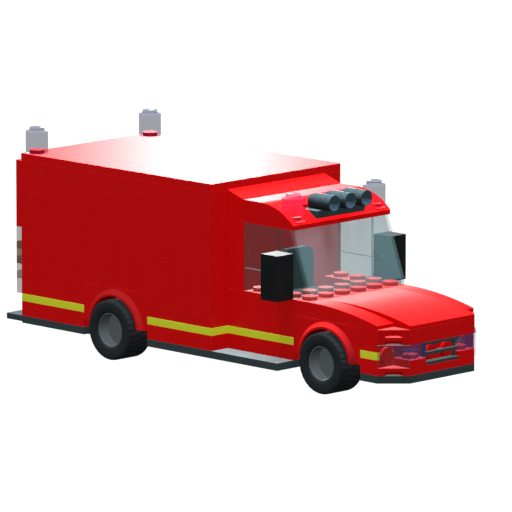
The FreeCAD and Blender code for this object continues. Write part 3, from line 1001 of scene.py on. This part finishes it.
@dataclass
class Studio:
    """A white floor under soft light, and the camera of the photograph.

    The lens and the film are in millimetres and powers in watts. What the glossy faces
    mirror is set by levels of grey: one at the ground, one straight up and, between them,
    wall levels as (height, level), where a height of 1 is straight up.
    """

    camera_place: tuple[float, float, float] = (1.7089, -1.71398, 0.46745)
    heading_degrees: float = 134.887
    down_degrees: float = 10.076
    lens: float = 492.8
    film_width: float = 36.0
    near_clip: float = 0.05
    far_clip: float = 60.0
    toy_middle_height: float = 0.04
    toy_roof_height: float = 0.07
    floor_half: float = 12.0
    floor_level: float = 0.03
    floor_roughness: float = 0.9
    floor_glow: float = 1.0
    ambient: float = 0.13
    ground_level: float = 0.02
    wall_levels: tuple[Place, ...] = ((0.02, 0.06), (0.50, 0.06), (0.72, 0.40))
    ceiling_level: float = 0.45
    top_colour: Colour = (0.93, 1.0, 1.08)
    top_power: float = 72.0
    top_height: float = 1.5
    top_size: float = 0.6
    lift_height_degrees: float = 90.0
    lift_strength: float = 7.0
    fill_headings_degrees: tuple[float, ...] = (-45.0, 45.0, 135.0, 225.0)
    fill_height_degrees: float = 25.0
    fill_strength: float = 0.87
    far_width_degrees: float = 30.0
    glare_heading_degrees: float = 135.35
    glare_height_degrees: float = 9.3
    glare_width_degrees: float = 1.0
    glare_distance: float = 15.0
    glare_power: float = 28.0
    bonnet_glare_power: float = 72.0

    def build(self) -> None:
        """Sets up everything that isn't part of the toy."""
        self.place_camera()
        self.lay_floor()
        self.light_world()
        self.hang_lights()
        bpy.context.scene.view_settings.view_transform = "Standard"

    def place_camera(self) -> None:
        """Puts the camera where the photograph was taken from."""
        data = bpy.data.cameras.new("camera")
        data.lens = self.lens
        data.sensor_width = self.film_width
        data.clip_start = self.near_clip
        data.clip_end = self.far_clip
        ahead = heading_vector(self.heading_degrees, -self.down_degrees)
        bpy.context.scene.camera = self.aimed(data, Vector(self.camera_place), ahead)

    def lay_floor(self) -> None:
        """Lays the white floor, which glows evenly, takes no shadow and lights nothing."""
        shape = bmesh.new()
        half = self.floor_half
        corners = ((-half, -half), (half, -half), (half, half), (-half, half))
        shape.faces.new([shape.verts.new((x, y, 0.0)) for x, y in corners])
        floor = as_piece("studio_floor", shape)
        material = bpy.data.materials.new("pale floor")
        material.use_nodes = True
        shader = material.node_tree.nodes["Principled BSDF"]
        shader.inputs["Base Color"].default_value = grey(self.floor_level)
        shader.inputs["Roughness"].default_value = self.floor_roughness
        shader.inputs["Specular IOR Level"].default_value = 0.0
        shader.inputs["Emission Color"].default_value = grey(1.0)
        shader.inputs["Emission Strength"].default_value = self.floor_glow
        floor.data.materials.append(material)
        floor.visible_diffuse = False
        floor.visible_glossy = False

    def light_world(self) -> None:
        """Gives the room an even light, and walls that only glossy faces mirror.

        The camera itself sees the third background, which keeps its own pale grey.
        """
        world = bpy.data.worlds.new("studio")
        world.use_nodes = True
        tree = world.node_tree
        tree.nodes.clear()
        even, walls, seen = [tree.nodes.new("ShaderNodeBackground") for _ in range(3)]
        even.inputs["Strength"].default_value = self.ambient
        tree.links.new(self.wall_colour(tree), walls.inputs["Color"])
        path = tree.nodes.new("ShaderNodeLightPath")
        light = even.outputs["Background"]
        for ray, background in (("Is Glossy Ray", walls), ("Is Camera Ray", seen)):
            choice = tree.nodes.new("ShaderNodeMixShader")
            tree.links.new(path.outputs[ray], choice.inputs["Fac"])
            tree.links.new(light, choice.inputs[1])
            tree.links.new(background.outputs["Background"], choice.inputs[2])
            light = choice.outputs["Shader"]
        out = tree.nodes.new("ShaderNodeOutputWorld")
        tree.links.new(light, out.inputs["Surface"])
        bpy.context.scene.world = world

    def wall_colour(self, tree: bpy.types.NodeTree) -> bpy.types.NodeSocket:
        """Paints the walls, dim below and pale above.

        Args:
            tree: The world's nodes.

        Returns:
            The colour in each direction.
        """
        place = tree.nodes.new("ShaderNodeTexCoord")
        split = tree.nodes.new("ShaderNodeSeparateXYZ")
        band = tree.nodes.new("ShaderNodeValToRGB")
        stops = band.color_ramp.elements
        for stop, level in zip(stops, (self.ground_level, self.ceiling_level)):
            stop.color = grey(level)
        for height, level in self.wall_levels:
            stops.new(height).color = grey(level)
        tree.links.new(place.outputs["Generated"], split.inputs["Vector"])
        tree.links.new(split.outputs["Z"], band.inputs["Fac"])
        return band.outputs["Color"]

    def hang_lights(self) -> None:
        """Hangs the soft lights, and the narrow ones that glare on level faces."""
        top_place = Vector((0.0, 0.0, self.top_height))
        top = self.area_light("overhead", top_place, self.top_size, self.top_power)
        lift = self.far_light("lift", 0.0, self.lift_height_degrees, self.lift_strength)
        for light in (top, lift):
            light.data.color = self.top_colour
            light.data.cycles.max_bounces = 0
            light.visible_glossy = False
        for number, heading in enumerate(self.fill_headings_degrees):
            self.far_light("fill_%d" % number, heading, self.fill_height_degrees, self.fill_strength)
        self.glare("glare", self.glare_power)
        bonnet_glare = self.glare("bonnet_glare", self.bonnet_glare_power)
        takers = bpy.data.collections.new("bonnet glare takers")
        for node in BONNET_NODES:
            takers.objects.link(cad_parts[node])
        bonnet_glare.light_linking.receiver_collection = takers

    def glare(self, name: str, power: float) -> bpy.types.Object:
        """Hangs a low narrow light, seen in glossy faces alone, with only the floor in its way.

        Args:
            name: The light's name.
            power: Its power.

        Returns:
            The light.
        """
        towards = heading_vector(self.glare_heading_degrees, self.glare_height_degrees)
        place = Vector((0.0, 0.0, self.toy_roof_height)) + towards * self.glare_distance
        width = 2 * self.glare_distance * math.tan(math.radians(self.glare_width_degrees) / 2)
        light = self.area_light(name, place, width, power)
        light.visible_diffuse = False
        light.data.cycles.max_bounces = 0
        blockers = bpy.data.collections.new(name + " blockers")
        blockers.objects.link(bpy.data.objects["studio_floor"])
        light.light_linking.blocker_collection = blockers
        return light

    def far_light(self, name: str, heading: float, height: float, strength: float) -> bpy.types.Object:
        """Hangs a wide distant light that throws no shadows and shows in no glossy face.

        Args:
            name: The light's name.
            heading: The side it stands on, in degrees from ahead towards the left.
            height: Its height over the horizon in degrees.
            strength: What it brings in watts per square metre.

        Returns:
            The light.
        """
        data = bpy.data.lights.new(name, "SUN")
        data.angle = math.radians(self.far_width_degrees)
        data.energy = strength
        data.use_shadow = False
        light = self.aimed(data, Vector(), -heading_vector(heading, height))
        light.visible_glossy = False
        return light

    def area_light(self, name: str, place: Vector, size: float, power: float) -> bpy.types.Object:
        """Hangs a round soft light that faces the toy.

        Args:
            name: The light's name.
            place: Where it hangs.
            size: Its width.
            power: Its power.

        Returns:
            The light.
        """
        data = bpy.data.lights.new(name, "AREA")
        data.shape = "DISK"
        data.size = size
        data.energy = power
        light = self.aimed(data, place, Vector((0.0, 0.0, self.toy_middle_height)) - place)
        light.visible_camera = False
        return light

    def aimed(
        self, data: bpy.types.Camera | bpy.types.Light, place: Vector, looks: Vector
    ) -> bpy.types.Object:
        """Puts up a camera or a light and points it.

        Args:
            data: The camera's or light's own data, whose name is used.
            place: Where it stands.
            looks: The way it points.

        Returns:
            The new object.
        """
        thing = bpy.data.objects.new(data.name, data)
        thing.location = place
        thing.rotation_mode = "QUATERNION"
        thing.rotation_quaternion = looks.to_track_quat("-Z", "Y")
        bpy.context.scene.collection.objects.link(thing)
        return thing


def sub_assemblies() -> list[SubAssembly]:
    """Lists every sub-assembly of the toy.

    Returns:
        The sub-assemblies, from the ground up.
    """
    return [
        *(Wheel(place) for place in WHEEL_PLACES),
        Bricks(Finish.DARK, ("chassis_plate", "rear_step", "axle_block_rear", "axle_block_front")),
        Bricks(Finish.RED, ("box_side_lower", "box_side_upper_right", "box_side_upper_left")),
        Bricks(Finish.RED, ("box_front_wall", "box_roof")),
        # The arches' leaning faces, their mudguard lips, take recoloured reds with painted sheen and shade.
        Bricks(Finish.RED, ("arches_rear",), second=Finish.LIP, faces=Faces.LEANING),
        Bricks(Finish.RED, ("arches_front",), second=Finish.FRONT_LIP, faces=Faces.LEANING),
        Bricks(Finish.YELLOW, ("box_stripes", "cab_stripes")),
        Bricks(Finish.RED, ("rear_post_right", "rear_post_left", "rear_door_right", "rear_door_left")),
        Bricks(Finish.SMOKE, ("door_glass_right", "door_glass_left")),
        Bricks(Finish.TAIL, ("tail_lamps_clear",)),
        Bricks(Finish.CLEAR, ("corner_lamps",), second=Finish.LAMP_TOP_SHEEN, faces=Faces.LEVEL),
        Bricks(Finish.AMBER, ("tail_lamps_amber",)),
        Bricks(Finish.OLIVE, ("tail_lamps_smoke",)),
        Bricks(Finish.RED, ("cab_side_lower", "cab_side_upper_right", "cab_side_upper_left")),
        Bricks(Finish.RED, ("dash", "b_pillars")),
        Bricks(Finish.BONNET, BONNET_NODES),
        Bricks(
            Finish.SMOKE, ("side_panes_lower", "side_panes_upper"), second=Finish.PANE_EDGE, faces=Faces.FLAT
        ),
        # The windscreen's leaning faces get the painted sheen.
        Bricks(Finish.SMOKE, ("windscreen",), second=Finish.SCREEN, faces=Faces.LEANING),
        Bricks(Finish.BLACK, ("door_mirrors",)),
        Seat(),
        Bricks(Finish.RED, ("corner_upper", "corner_lower", "corner_discs", "bumper", "front_panel")),
        Bricks(Finish.DARK, ("grille",)),
        Bricks(Finish.BLUE, ("blue_lamps",)),
        LampBacks(),
        Bricks(Finish.RED, ("roof_ramp",)),
        Bricks(Finish.VISOR, ("visor",)),
        SeatFills(),
        RoofLamps(),
        Beacons("beacons_rear"),
        Beacons("beacons_front"),
    ]


def main() -> None:
    """Builds the toy and the studio."""
    logging.basicConfig(level=logging.INFO, format="%(name)s: %(message)s")
    for group in sub_assemblies():
        for piece in group.build():
            LOG.info("%s: %s", type(group).__name__, piece.name)
    Studio().build()


if __name__ == "__main__":
    main()
